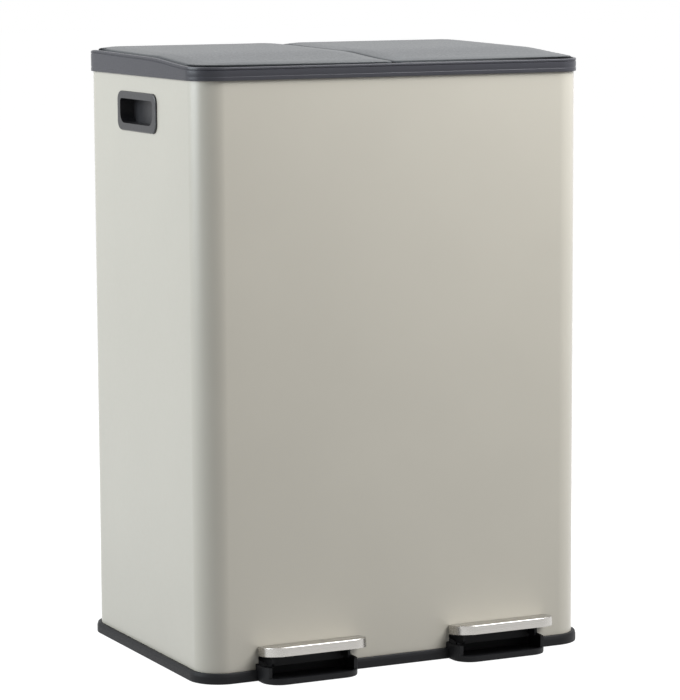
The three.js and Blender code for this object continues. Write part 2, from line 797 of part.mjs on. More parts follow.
// a channel on the back wall that guides the rod and keeps the buckets off it
function makeRodCover(bay) {
  const [left, right] = [bay.rodX[0] - coverRoom, bay.rodX[1] + coverRoom];
  const front = rodY - rodWidth / 2 - coverFront;
  const back = halfD - inWrap;
  const span = [deckTop + seatGap, coverTop];
  const channel = cut(block([left, right], [front, back], span),
    block([left + coverWall, right - coverWall], [front + coverWall, back + bite], [0, coverTop + bite]));
  const flanges = [[left - coverFlange, left + bite], [right - bite, right + coverFlange]]
    .map((wide) => block(wide, [back - coverWall, back], span));
  const guides = [deckTop + guideFromEnd, (deckTop + coverTop) / 2, coverTop - guideFromEnd].map((z) => cut(
    block([left + bite, right - bite], [front + bite, rodY + rodWidth / 2 + guideDepth],
      [z - guideHeight / 2, z + guideHeight / 2]),
    block([bay.rodX[0] - runningGap, bay.rodX[1] + runningGap],
      [rodY - rodWidth / 2 - runningGap, rodY + rodWidth / 2 + runningGap], [z - guideHeight, z + guideHeight]),
  ));
  return join(channel, ...flanges, ...guides);
}

// ---------------------------------------------------------------- pedals

function capPlan() {
  const left = capShift - capWidth / 2;
  return {
    left, right: left + capWidth, front: -capFront, back: -capFront + capDepth,
    corners: [capCorner, capCorner, capRearCorner, capRearCorner],
  };
}

function makeCap() {
  const { left, right, back } = capPlan();
  const under = capTop - capSheet;
  const bottom = capTop - capBand;
  const shell = skin(levels(capPlan(), [[-capSheet, under], [-capSheet, bottom], [0, bottom],
    [0, capTop - capRound], [-capRound * 0.3, capTop - capRound * 0.3], [-capRound, capTop]]));
  return cut(shell, block([left + capSheet, right - capSheet], [back - 2 * capSheet, 0],
    [bottom - bite, under]));
}

function makeArm() {
  const headTop = capTop - capSheet - seatGap;
  const inset = -capSheet - seatGap;
  const neckTop = headTop - armStep;
  const neck = [neckTop - armPlate, neckTop];
  const underNeck = neckTop - bite;
  const half = armWidth / 2;
  const hub = hubWidth / 2;
  const bothSides = (edge) => [[-edge, -edge + armWall], [edge - armWall, edge]];
  const head = skin(levels(capPlan(), [[inset, headTop - armPlate], [inset, headTop]]));
  const neckPlate = block([-half, half], [-armFront, -armBack], neck);
  const tongue = block([-hub, hub], [-armBack - bite, 0], neck);
  const skirtShape = [[-armFront, neckTop], [-armFront, skirtFront + skirtChamfer],
    [-armFront + skirtChamfer, skirtFront], [-armBack, skirtBack], [-armBack, neckTop]];
  const skirts = bothSides(half).map((span) => sidePlate(skirtShape, span));
  const ribShape = [[-armBack - bite, neckTop], [-armBack - bite, skirtBack + 2 * bite],
    ...arc(0, 0, axleHub, -100, 60, 6)];
  const ribs = bothSides(hub).map((span) => sidePlate(ribShape, span));
  const near = leverPlate / 2 + seatGap;
  const forkFront = -leverNose - forkReach;
  const forkShape = [[forkFront, neckTop], [forkFront, forkBottom], [0, -axleHub + bite], [0, neckTop]];
  const fork = bothSides(near + armWall).map((span) => sidePlate(forkShape, span));
  const across = [-half + bite, half - bite];
  const backWeb = block(across, [-armBack - armWall, -armBack], [skirtBack, underNeck]);
  const panelY = -armFront + panelSetBack;
  const panel = block(across, [panelY, panelY + armWall], [panelBottom, underNeck]);
  const gussetFront = -armFront + gussetSetBack;
  const gussetShape = [[gussetFront, underNeck], [gussetFront, gussetBottom],
    [-armBack - bite, skirtBack + bite], [-armBack - bite, underNeck]];
  const stiffeners = gussets.map((x) => sidePlate(gussetShape, [x - gussetPlate / 2, x + gussetPlate / 2]));
  const barrel = pinAlongX(axleHub, [-hub, hub], 0, 0, 16);
  const leverSlot = block([-near, near], [-leverNose - armWall, axleHub + bite], [-armBack, armBack]);
  const bore = pinAlongX(axleRadius + runningGap, [-hubWidth, hubWidth], 0, 0);
  const whole = join(head, neckPlate, tongue, ...skirts, ...ribs, ...fork, backWeb, panel, ...stiffeners, barrel);
  return cut(whole, leverSlot, bore);
}

const lugFace = hubWidth / 2 + runningGap + lugPlate; // outer face of the lugs, from the bay's middle

function makeAxle(bay) {
  const reach = lugFace + seatGap + clipPlate + axleEnd;
  return pinAlongX(axleRadius, [bay.x - reach, bay.x + reach], axleY, axleZ);
}

// spring clip round one end of an axle, open at the bottom
function makeClip(bay, side) {
  const near = bay.x + side * (lugFace + seatGap);
  const span = side < 0 ? [near - clipPlate, near] : [near, near + clipPlate];
  const wide = [span[0] - bite, span[1] + bite];
  return cut(pinAlongX(axleRadius + clipWall, span, axleY, axleZ),
    pinAlongX(axleRadius + seatGap, wide, axleY, axleZ),
    block(wide, [axleY - clipMouth / 2, axleY + clipMouth / 2], [axleZ - axleRadius - through, axleZ]));
}

// ---------------------------------------------------------------- buckets and grips

function makeBucket(bay) {
  const inner = crossbarWidth / 2 + bucketClear;
  const outer = halfW - shelfWidth - bucketClear;
  const plan = {
    left: bay.side < 0 ? -outer : inner, right: bay.side < 0 ? -inner : outer,
    front: bayFront + bucketClear, back: bayBack - bucketClear,
    corners: [bucketCorner, bucketCorner, bucketCorner, bucketCorner],
  };
  const floor = deckTop + seatGap;
  const low = -bucketRim - bucketDraft;
  const hook = bucketTop - bucketWall;
  const flangeEnd = bucketTop - bucketFlange;
  const waist = bucketTop - 2 * bucketFlange;
  const wall = bucketRim + bucketWall;
  return skin(levels(plan, [
    [low - bucketBevel, floor],
    [low, floor + bucketBevel],
    [-bucketRim, waist],
    [-bucketRim, hook],
    [-bucketWall, hook],
    [-bucketWall, flangeEnd],
    [0, flangeEnd],
    [0, bucketTop - bucketRound],
    [-bucketRound, bucketTop],
    [-wall + bucketRound, bucketTop],
    [-wall, bucketTop - bucketRound],
    [-wall, waist],
    [low - bucketWall, floor + bucketBevel + bite],
    [low - bucketBevel - bite, floor + bucketWall],
  ], [], smallArcSteps));
}

// a finger recess clipped into the side of the wrap
function makeGrip(side) {
  const ring = (grow, x) => outline({
    left: gripY - bezelLength / 2, right: gripY + bezelLength / 2,
    front: gripZ - bezelHeight / 2, back: gripZ + bezelHeight / 2,
    corners: [bezelCorner, bezelCorner, bezelCorner, bezelCorner],
  }, grow).map(([y, z]) => [y, z, x]);
  const bezel = toSolid(turnToX(skinGeometry([ring(0, seatGap),
    ...bezelRound.map(([inset, depth]) => ring(-inset, bezelProud - depth))], false)));
  const pocketPlan = {
    left: gripY - pocketLength / 2, right: gripY + pocketLength / 2,
    front: gripZ - pocketHeight / 2, back: gripZ + pocketHeight / 2,
    corners: pocketCorners,
  };
  const pocket = (grow) => outline(pocketPlan, grow, [], smallArcSteps);
  const bottom = -pocketDepth - pocketWall;
  const roof = pocketPlan.back + pocketUndercut;
  const roofY = [pocketPlan.left + pocketShoulder, pocketPlan.right - pocketShoulder];
  const roofPlate = (grow) => [[roofY[0] - grow, gripZ], [roofY[1] + grow, gripZ],
    [roofY[1] + grow, roof + grow], [roofY[0] - grow, roof + grow]];
  const housing = join(sidePlate(pocket(pocketWall), [bottom, bezelProud - bite]),
    sidePlate(roofPlate(pocketWall), [bottom, -inWrap]));
  const hollow = join(sidePlate(pocket(0), [-pocketDepth, bezelProud + bite]),
    sidePlate(roofPlate(0), [-pocketDepth, -inWrap - pocketWall]));
  const geometry = toGeometry(cut(join(bezel, housing), hollow));
  geometry.translate(halfW, 0, 0);
  if (side < 0) {
    geometry.rotateZ(Math.PI);
    geometry.translate(0, 2 * gripY, 0);
  }
  return geometry;
}

// ---------------------------------------------------------------- assembly

const assembly = new THREE.Group();
assembly.name = 'double_recycling_bin';
const placed = new THREE.Group();
placed.name = 'bin';
placed.position.y = centreShift;
assembly.add(placed);

function add(name, shape, material) {
  const geometry = shape.isBufferGeometry ? shape : toGeometry(shape);
  const mesh = new THREE.Mesh(geometry, material);
  mesh.name = name;
  placed.add(mesh);
  return mesh;
}

// a pedal is drawn level round its axle, then tilted and set in its bay
function addPedalPiece(name, shape, material, bay) {
  const mesh = add(name, shape, material);
  mesh.rotation.x = -rad(pedalTilt);
  mesh.position.set(bay.x, axleY, axleZ);
}

add('outer_shell', makeWrap(), paint);
add('base', makeBase(), blackPlastic);
add('top_rim', makeRim(), rimPlastic);
footPlaces.forEach((place, i) => add(`foot_${i + 1}`, makeFoot(place), rubber));
bumperPlaces.forEach((place, i) => add(`lid_bumper_${i + 1}`, makeBumper(place), rubber));

bays.forEach((bay) => {
  const { name } = bay;
  add(`${name}_grip`, makeGrip(bay.side), blackPlastic);
  add(`${name}_bucket`, makeBucket(bay), greyPlastic);
  add(`${name}_lid`, makeLid(bay), lidPlastic);
  add(`${name}_lid_liner`, makeLiner(bay), greyPlastic);
  add(`${name}_crank`, makeCrank(bay), platedSteel);
  crankScrews(bay).forEach((place, i) => add(`${name}_crank_screw_${i + 1}`, makeScrew(place), platedSteel));
  bay.hingeX.forEach((x, i) => add(`${name}_hinge_pin_${i + 1}`, makeHingePin(x), platedSteel));
  add(`${name}_push_rod`, makeRod(bay), platedSteel);
  add(`${name}_rod_cover`, makeRodCover(bay), greyPlastic);
  add(`${name}_lever`, makeLever(bay), platedSteel);
  add(`${name}_axle`, makeAxle(bay), platedSteel);
  [-1, 1].forEach((side, i) => add(`${name}_axle_clip_${i + 1}`, makeClip(bay, side), platedSteel));
  addPedalPiece(`${name}_pedal_arm`, makeArm(), blackPlastic, bay);
  addPedalPiece(`${name}_pedal_cap`, makeCap(), brushedSteel, bay);
});

export default assembly;
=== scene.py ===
import json
import math

import bpy
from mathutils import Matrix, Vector


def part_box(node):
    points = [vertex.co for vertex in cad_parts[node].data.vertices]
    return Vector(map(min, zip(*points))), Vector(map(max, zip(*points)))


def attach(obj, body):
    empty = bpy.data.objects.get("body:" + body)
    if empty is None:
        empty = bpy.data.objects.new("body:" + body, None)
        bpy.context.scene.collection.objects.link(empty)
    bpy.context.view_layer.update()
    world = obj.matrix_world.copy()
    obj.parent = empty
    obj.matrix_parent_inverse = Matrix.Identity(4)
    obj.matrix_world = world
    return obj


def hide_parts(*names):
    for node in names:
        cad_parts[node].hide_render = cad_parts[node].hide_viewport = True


# Looks of the double recycling bin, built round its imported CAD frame. Lengths are in
# millimetres round the centre of the sheet wrap on the floor, with -Y to the front, and
# metres() turns them into the frame's own units and place.

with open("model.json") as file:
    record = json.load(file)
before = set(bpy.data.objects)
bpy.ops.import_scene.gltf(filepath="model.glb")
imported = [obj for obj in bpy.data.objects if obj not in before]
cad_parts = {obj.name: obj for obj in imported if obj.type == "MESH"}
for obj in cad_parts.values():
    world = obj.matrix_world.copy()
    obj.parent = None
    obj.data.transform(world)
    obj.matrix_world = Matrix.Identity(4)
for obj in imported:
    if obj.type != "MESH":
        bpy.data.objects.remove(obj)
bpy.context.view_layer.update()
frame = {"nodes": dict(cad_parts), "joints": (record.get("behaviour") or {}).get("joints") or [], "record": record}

# ------------------------------------------------------------------ sizes from the frame

MM = 0.001
SHELL_LOW, SHELL_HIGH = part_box("outer_shell")
BASE_LOW, BASE_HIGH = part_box("base")
RIM_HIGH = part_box("top_rim")[1]
MID_Y = (SHELL_LOW[1] + SHELL_HIGH[1]) / 2
JOINTS = {joint["name"]: joint for joint in frame["joints"]}


def joint_place(name):
    """Depth and height of a joint's axis, in this script's millimetres."""
    place = JOINTS[name]["pos_m"]
    return (place[1] - MID_Y) / MM, place[2] / MM


def middle(low, high):
    """Where the middle of a box stands in plan, in this script's millimetres."""
    return (low[0] + high[0]) / 2 / MM, ((low[1] + high[1]) / 2 - MID_Y) / MM


HALF_W = (SHELL_HIGH[0] - SHELL_LOW[0]) / 2 / MM
HALF_D = (SHELL_HIGH[1] - SHELL_LOW[1]) / 2 / MM
WRAP_BOTTOM = SHELL_LOW[2] / MM
WRAP_TOP = SHELL_HIGH[2] / MM
RIM_PROUD = RIM_HIGH[0] / MM - HALF_W
RING_PROUD = BASE_HIGH[0] / MM - HALF_W
DECK_TOP = BASE_HIGH[2] / MM
TRAY_REACH = (SHELL_LOW[1] - BASE_LOW[1]) / MM
HINGE_Y, HINGE_Z = joint_place("left_lid_hinge")
AXLE_Y, AXLE_Z = joint_place("left_pedal_hinge")
BAY_X = HALF_W / 2
SIDES = {"left": -1, "right": 1}

# ------------------------------------------------------------------ sizes of the forms

CORNER = 29
SHEET = 0.8
SHEET_EDGE = 0.25
SEAT_GAP = 0.3
RUNNING_GAP = 0.4
SLIDE_GAP = 1
IN_WRAP = SHEET + SEAT_GAP
BITE = 1
CUT_REACH = 5

RING_BOTTOM = 1
RING_SEAT = 6
RING_SHOULDER = 8.5
RING_TOP = 12
RING_TOP_PROUD = 3.6
BASE_WALL = 2.5
DECK_UNDER = DECK_TOP - 2.5

FOOT_RADIUS = 9
FOOT_HEIGHT = 3
FOOT_INSET = 25
POST_RADIUS = 12.3

TRAY_WIDTH = 108
TRAY_CORNER = 20
TRAY_WALL = 3
TRAY_WALL_TOP = 18
TRAY_BACK_TOP = 11
TRAY_LIP = 7
TRAY_MOUTH = 9
TRAY_FLOOR_FRONT = 6.4
TRAY_FLOOR = 3.2
TRAY_INSIDE = 13
NOTCH_TOP = 34.4
# depth of the dark web in each bay, painted shade that stands for the shaded floor under the base
RIB_FROM_BAY = 53
SHADE_WEB_Y = -103

AXLE_RADIUS = 3
HUB_WIDTH = 44
LUG_PLATE = 4
LUG_RADIUS = 6.5
LUG_FOOT = 10.5

LEVER_PLATE = 3
ROD_PLATE = 3
ROD_WIDTH = 10
ROD_Y = middle(*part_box("left_push_rod"))[1]
RIVET_HEAD = 1.6

PEDAL_TILT = 7
CAP_WIDTH = 118
CAP_SHIFT = 6
CAP_FRONT = 108
CAP_DEPTH = 32.6
CAP_TOP = 4.3
CAP_BAND = 9.8
CAP_SHEET = 0.8
CAP_CORNER = 21
CAP_REAR_CORNER = 2.5

RIM_BOTTOM = 620
RIM_FRONT = 13.7
RIM_WALL = 3.2
RIM_STEP = 4
SHELF_TOP = 624
SHELF_PLATE = 3
SHELF_WIDTH = 12.8
REAR_LEDGE = 35
TONGUE_BOTTOM = 607
TONGUE_WALL = 2.5
CROSSBAR = 12
CROSSBAR_WEB = 3
CROSSBAR_DEPTH = 14
CRANK_SLOT_BACK = 10.5

RIM_BELOW_LID = 2.1
CREST_RISE = 9.5
CREST_Y = HALF_D - 35
CREST = RIM_BOTTOM + RIM_FRONT + RIM_BELOW_LID + CREST_RISE
SLOPE = 0.018
DIP = CREST_RISE - SLOPE * (CREST_Y + HALF_D)
DIP_FRONT = -HALF_D + 14
DIP_LENGTH = 110
TAIL_FROM = HALF_D - 37
TAIL_RADIUS = 140

LID_GAP = 1.2
LID_BACK_GAP = 6.5
SEAM_GAP = 2.6
LID_WALL = 2.2
LID_SKIRT = 7.5
LID_REAR_SKIRT = 4.4
SKIRT_TAPER = 5
LID_PILLOW = 1.4
LID_REAR_CORNER = 36
LID_SEAM_CORNER = 9

LINER_BACK = 22
LINER_PLATE = 1.8
LINER_DEPTH = 3.6
LINER_INSET = 0.9
SCREW_HOLE_RADIUS = 1.9
SCREW_HOLE_DEPTH = 9

HINGE_X = (32, HALF_W - 38)
PIN_RADIUS = 2
KNUCKLE_RADIUS = 4
KNUCKLE_LENGTH = 12
EAR_PLATE = 3
EAR_LEAN = 5

BUMPER_RADIUS = 4
BUMPER_STEM = 1.8

BUCKET_WALL = 2.2
BUCKET_TOP = SHELF_TOP - 1
BUCKET_RIM = 5
BUCKET_FLANGE = 9
BUCKET_CORNER = 26
BUCKET_DRAFT = 7
BUCKET_CLEAR = 2.2
BUCKET_BEVEL = 5

GRIP_Y = 6
GRIP_Z = 582
BEZEL_LENGTH = 104
BEZEL_HEIGHT = 41.5
BEZEL_CORNER = 10
BEZEL_PROUD = 2.2
BEZEL_LAP = 2.5
POCKET_LENGTH = 88
POCKET_HEIGHT = 26
POCKET_DEPTH = 14
POCKET_UNDERCUT = 5
POCKET_SHOULDER = 10
POCKET_WALL = 1.6
POCKET_CORNERS = (11, 11, 5, 5)

ARC_STEPS = 14
ROUND_SIDES = 32
STATION_STEP = 9
LEAST_CORNER = 0.5


def metres(point):
    """A point in this script's millimetres, as a place in the frame."""
    return Vector((point[0] * MM, point[1] * MM + MID_Y, point[2] * MM))


# ------------------------------------------------------------------ shapes

def arc(cx, cy, radius, start, steps=ARC_STEPS, sweep=90):
    points = []
    for i in range(steps + 1):
        angle = math.radians(start + sweep * i / steps)
        points.append((cx + radius * math.cos(angle), cy + radius * math.sin(angle)))
    return points


def outline(plan, grow=0.0, divided=False):
    """A rounded rectangle, anticlockwise from its front left corner, moved outwards by grow."""
    left, right, front, back, corners = plan
    fl, fr, br, bl = [max(radius + grow, LEAST_CORNER) for radius in corners]
    x0, x1, y0, y1 = left - grow, right + grow, front - grow, back + grow

    def along(x, start, end):
        if not divided:
            return []
        count = max(2, round(abs(end - start) / STATION_STEP))
        return [(x, start + (end - start) * i / count) for i in range(1, count)]

    return (
        arc(x0 + fl, y0 + fl, fl, 180)
        + arc(x1 - fr, y0 + fr, fr, 270)
        + along(x1, y0 + fr, y1 - br)
        + arc(x1 - br, y1 - br, br, 0)
        + arc(x0 + bl, y1 - bl, bl, 90)
        + along(x0, y1 - bl, y0 + fl)
    )


def levels(plan, steps_up, divided=False):
    """Rings of one plan at several (grow, z) steps, where z may be a function of y."""
    rings = []
    for grow, z in steps_up:
        ring = outline(plan, grow, divided)
        rings.append([(x, y, z(y) if callable(z) else z) for x, y in ring])
    return rings


def across(ring):
    """Faces that close a ring, each joining its left side to its right side."""
    ys = [point[1] for point in ring]
    right = left = ys.index(min(ys))
    top = ys.index(max(ys))
    count = len(ring)
    faces = []
    while right != top or left != top:
        next_right = (right + 1) % count
        next_left = (left - 1) % count
        go_right = left == top or (right != top and ys[next_right] <= ys[next_left])
        new = next_right if go_right else next_left
        if right != left and new not in (left, right):
            faces.append((right, new, left))
        if go_right:
            right = next_right
        else:
            left = next_left
    return faces


def skin(name, rings, closed=False, turn=None):
    """A mesh object over a stack of rings. closed joins the last ring to the first."""
    count = len(rings[0])
    points = [point for ring in rings for point in ring]
    faces = []
    for band in range(len(rings) if closed else len(rings) - 1):
        low = band * count
        high = (band + 1) % len(rings) * count
        for i in range(count):
            j = (i + 1) % count
            faces.append((low + i, low + j, high + j, high + i))
    if not closed:
        top = (len(rings) - 1) * count
        faces += [(a, c, b) for a, b, c in across(rings[0])]
        faces += [(top + a, top + b, top + c) for a, b, c in across(rings[-1])]
    if turn:
        points = [turn(point) for point in points]
    return mesh_object(name, points, faces)


def mesh_object(name, points, faces):
    mesh = bpy.data.meshes.new(name)
    mesh.from_pydata([metres(point) for point in points], [], faces)
    mesh.validate()
    obj = bpy.data.objects.new(name, mesh)
    bpy.context.scene.collection.objects.link(obj)
    return obj


def block(name, x, y, z):
    points = [(a, b, c) for c in z for b in y for a in x]
    faces = [(0, 2, 3, 1), (4, 5, 7, 6), (0, 1, 5, 4), (2, 6, 7, 3), (0, 4, 6, 2), (1, 3, 7, 5)]
    return mesh_object(name, points, faces)


def side_plate(name, points, x):
    """A plate across X whose outline is given as (y, z) points."""
    count = len(points)
    crosses = [a[0] * b[1] - b[0] * a[1] for a, b in zip(points, points[1:] + points[:1])]
    if sum(crosses) < 0:
        points = points[::-1]
    rings = [[(across_x, y, z) for y, z in points] for across_x in sorted(x)]
    faces = [tuple(range(count))[::-1], tuple(range(count, 2 * count))]
    for i in range(count):
        j = (i + 1) % count
        faces.append((i, j, count + j, count + i))
    return mesh_object(name, rings[0] + rings[1], faces)


def plate_pair(name, points, x, near, plate):
    """Two plates across X, one on each side of a place."""
    return [side_plate(name, points, (x + side * near, x + side * (near + plate))) for side in (-1, 1)]


def around(cx, cy, radius, start=0):
    """The points of a full circle."""
    return arc(cx, cy, radius, start, ROUND_SIDES, 360)[:-1]


def pin_x(name, radius, x, y, z):
    """A plain round bar along X, used to join or cut."""
    return side_plate(name, around(y, z, radius), x)


def turned(name, profile, x, y):
    """A round piece about an upright axis. profile lists (radius, z) from the bottom."""
    return skin(name, [[(*point, z) for point in around(x, y, radius, -90)] for radius, z in profile])


def boolean(obj, tool, operation="DIFFERENCE"):
    """Cuts or joins one object with another, which is used up."""
    modifier = obj.modifiers.new("cut", "BOOLEAN")
    modifier.operation = operation
    modifier.solver = "EXACT"
    modifier.object = tool
    graph = bpy.context.evaluated_depsgraph_get()
    graph.update()
    made = bpy.data.meshes.new_from_object(obj.evaluated_get(graph))
    obj.modifiers.remove(modifier)
    old = obj.data
    obj.data = made
    made.name = obj.name
    bpy.data.meshes.remove(old)
    used = tool.data
    bpy.data.objects.remove(tool)
    bpy.data.meshes.remove(used)
    return obj


def added(obj, *tools):
    for tool in tools:
        boolean(obj, tool, "UNION")


def cut(obj, *tools):
    for tool in tools:
        boolean(obj, tool)


def finish_surface(obj, material, bevel=0.0, sharp=32):
    """Smooth shading that keeps flats flat and corners crisp."""
    obj.data.materials.clear()
    obj.data.materials.append(material)
    obj.data.shade_smooth()
    obj.data.set_sharp_from_angle(angle=math.radians(sharp))
    if bevel:
        edge = obj.modifiers.new("edges", "BEVEL")
        edge.width = bevel * MM
        edge.segments = 2
        edge.limit_method = "ANGLE"
        edge.angle_limit = math.radians(sharp)
        edge.harden_normals = True
    normals = obj.modifiers.new("normals", "WEIGHTED_NORMAL")
    normals.keep_sharp = True
    normals.weight = 80
    return obj


# ------------------------------------------------------------------ materials

# a noise stays mostly between these two values
NOISE_LOW = 0.3
NOISE_HIGH = 0.7


def shader_of(material):
    return material.node_tree.nodes["Principled BSDF"]


def feed(material, socket, source):
    """Links a source to a socket of the material's shader."""
    material.node_tree.links.new(source, shader_of(material).inputs[socket])


def new_material(name, color, roughness, metallic=0.0, specular=0.5):
    material = bpy.data.materials.new(name)
    material.use_nodes = True
    shader = shader_of(material)
    shader.inputs["Base Color"].default_value = (*color, 1)
    shader.inputs["Roughness"].default_value = roughness
    shader.inputs["Metallic"].default_value = metallic
    shader.inputs["Specular IOR Level"].default_value = specular
    return material


def object_noise(material, scale, detail=4.0, stretch=(1, 1, 1)):
    """A noise texture that is fixed to the object, with its own stretch."""
    nodes = material.node_tree.nodes
    links = material.node_tree.links
    place = nodes.new("ShaderNodeTexCoord")
    mapping = nodes.new("ShaderNodeMapping")
    mapping.inputs["Scale"].default_value = stretch
    noise = nodes.new("ShaderNodeTexNoise")
    noise.inputs["Scale"].default_value = scale
    noise.inputs["Detail"].default_value = detail
    links.new(place.outputs["Object"], mapping.inputs["Vector"])
    links.new(mapping.outputs["Vector"], noise.inputs["Vector"])
    return noise.outputs["Fac"]


def vary(material, socket, source, low, high):
    """Lets a noise vary one socket between two values."""
    spread = material.node_tree.nodes.new("ShaderNodeMapRange")
    spread.inputs["From Min"].default_value = NOISE_LOW
    spread.inputs["From Max"].default_value = NOISE_HIGH
    spread.inputs["To Min"].default_value = low
    spread.inputs["To Max"].default_value = high
    material.node_tree.links.new(source, spread.inputs["Value"])
    feed(material, socket, spread.outputs["Result"])


def tint(material, source, color, dark, light):
    """Lets a noise vary the base colour between two shares of it."""
    ramp = material.node_tree.nodes.new("ShaderNodeValToRGB")
    for index, (position, share) in enumerate(((NOISE_LOW, dark), (NOISE_HIGH, light))):
        element = ramp.color_ramp.elements[index]
        element.position = position
        element.color = (*[channel * share for channel in color], 1)
    material.node_tree.links.new(source, ramp.inputs["Fac"])
    feed(material, "Base Color", ramp.outputs["Color"])


def grain(material, source, strength, distance):
    """Fine relief from a noise, distance in millimetres."""
    bump = material.node_tree.nodes.new("ShaderNodeBump")
    bump.inputs["Strength"].default_value = strength
    bump.inputs["Distance"].default_value = distance * MM
    material.node_tree.links.new(source, bump.inputs["Height"])
    feed(material, "Normal", bump.outputs["Normal"])


def putty_paint():
    """Satin powder coat: warm putty with a trace of orange peel."""
    color = (0.47, 0.442, 0.378)
    material = new_material("putty_paint", color, 0.36, specular=0.6)
    shader = shader_of(material)
    shader.inputs["Coat Weight"].default_value = 0.25
    shader.inputs["Coat Roughness"].default_value = 0.32
    tint(material, object_noise(material, 9), color, 0.985, 1.015)
    vary(material, "Roughness", object_noise(material, 240, 3), 0.33, 0.4)
    grain(material, object_noise(material, 900, 2), 0.12, 0.05)
    return material


def moulded(name, color, roughness, peel=0.15, specular=0.5):
    """Moulded plastic with a fine etched grain."""
    material = new_material(name, color, roughness, specular=specular)
    tint(material, object_noise(material, 60), color, 0.97, 1.03)
    vary(material, "Roughness", object_noise(material, 400, 3), roughness - 0.04, roughness + 0.05)
    grain(material, object_noise(material, 1400, 2), peel, 0.04)
    return material


def brushed_steel():
    """Steel brushed along its length."""
    color = (0.45, 0.435, 0.41)
    material = new_material("brushed_steel", color, 0.3, metallic=1.0)
    shader = shader_of(material)
    shader.inputs["Anisotropic"].default_value = 0.5
    lines = object_noise(material, 1500, 2, (0.008, 1, 1))
    tint(material, lines, color, 0.96, 1.03)
    vary(material, "Roughness", object_noise(material, 700, 2, (0.008, 1, 1)), 0.24, 0.29)
    grain(material, lines, 0.03, 0.01)
    return material


def plated_steel():
    """Zinc-plated steel of the hidden linkage."""
    color = (0.5, 0.51, 0.52)
    material = new_material("plated_steel", color, 0.38, metallic=1.0)
    tint(material, object_noise(material, 130), color, 0.85, 1.08)
    vary(material, "Roughness", object_noise(material, 260), 0.32, 0.46)
    return material


PAINT = putty_paint()
BASE_BLACK = moulded("base_black", (0.008, 0.008, 0.009), 0.5, specular=0.16)
RIM_PLASTIC = moulded("rim_plastic", (0.042, 0.042, 0.05), 0.32, 0.08, specular=0.26)
LID_PLASTIC = moulded("lid_plastic", (0.044, 0.048, 0.052), 0.34, 0.15, specular=0.22)
GRIP_BLACK = moulded("grip_black", (0.014, 0.014, 0.016), 0.38)
GREY_PLASTIC = moulded("grey_plastic", (0.085, 0.09, 0.095), 0.55)
BRUSHED = brushed_steel()
PLATED = plated_steel()
RUBBER = moulded("rubber", (0.012, 0.012, 0.012), 0.8)

SLOT_LOOKS = {
    "warm_putty_paint": PAINT,
    "black_plastic": BASE_BLACK,
    "rim_plastic": RIM_PLASTIC,
    "lid_plastic": LID_PLASTIC,
    "grey_plastic": GREY_PLASTIC,
    "brushed_steel": BRUSHED,
    "plated_steel": PLATED,
    "rubber": RUBBER,
}


def dress_frame():
    """Gives every CAD node the look of its record slot."""
    slots = {part["node"]: part["material_slot"] for part in frame["record"]["subparts"]}
    for name, obj in frame["nodes"].items():
        for slot in obj.material_slots:
            slot.material = SLOT_LOOKS[slots[name]]


def put(obj, body, node):
    """Makes a piece ride on its body and stand for a CAD node."""
    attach(obj, body)
    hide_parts(node)


# ------------------------------------------------------------------ profiles

BODY_PLAN = (-HALF_W, HALF_W, -HALF_D, HALF_D, (CORNER,) * 4)


def smooth_share(value, start, end):
    """Goes from 0 at the start to 1 at the end, level at both."""
    share = min(1, max(0, (value - start) / (end - start)))
    return share * share * (3 - 2 * share)


def lid_edge(y):
    """Height of a lid's edge along the side of the bin."""
    slant = SLOPE * max(0, CREST_Y - y)
    dip = DIP * (1 - smooth_share(y, DIP_FRONT, DIP_FRONT + DIP_LENGTH))
    tail = max(0, y - TAIL_FROM) ** 2 / (2 * TAIL_RADIUS)
    return CREST - slant - dip - tail


def below_lid(drop):
    return lambda y: lid_edge(y) - drop


def below_rim(drop):
    return lambda y: lid_edge(y) - RIM_BELOW_LID - drop


# ------------------------------------------------------------------ wrap

def grip_plan(length, height, corners):
    """A rounded rectangle in (y, z) on the side of the wrap, round the middle of the grip."""
    return (GRIP_Y - length / 2, GRIP_Y + length / 2, GRIP_Z - height / 2, GRIP_Z + height / 2, corners)


BEZEL_PLAN = grip_plan(BEZEL_LENGTH, BEZEL_HEIGHT, (BEZEL_CORNER,) * 4)
POCKET_PLAN = grip_plan(POCKET_LENGTH, POCKET_HEIGHT, POCKET_CORNERS)


def make_wrap():
    wrap = skin("wrap", levels(BODY_PLAN, [
        (-SHEET_EDGE, WRAP_BOTTOM), (0, WRAP_BOTTOM + SHEET_EDGE),
        (0, WRAP_TOP - SHEET_EDGE), (-SHEET_EDGE, WRAP_TOP),
        (-SHEET, WRAP_TOP), (-SHEET, WRAP_BOTTOM),
    ]), closed=True)
    hole = outline(BEZEL_PLAN, -BEZEL_LAP)
    face = (-HALF_D - CUT_REACH, -HALF_D + CUT_REACH)
    wide = TRAY_WIDTH / 2 + SEAT_GAP
    narrow = TRAY_WIDTH / 2 - TRAY_WALL
    for side in SIDES.values():
        x = side * BAY_X
        cut(wrap,
            side_plate("hole", hole, (side * (HALF_W - CUT_REACH), side * (HALF_W + CUT_REACH))),
            block("notch", (x - wide, x + wide), face, (0, TRAY_WALL_TOP + SEAT_GAP)),
            block("notch", (x - narrow, x + narrow), face, (0, NOTCH_TOP)))
    put(finish_surface(wrap, PAINT), "bin", "outer_shell")


# ------------------------------------------------------------------ base

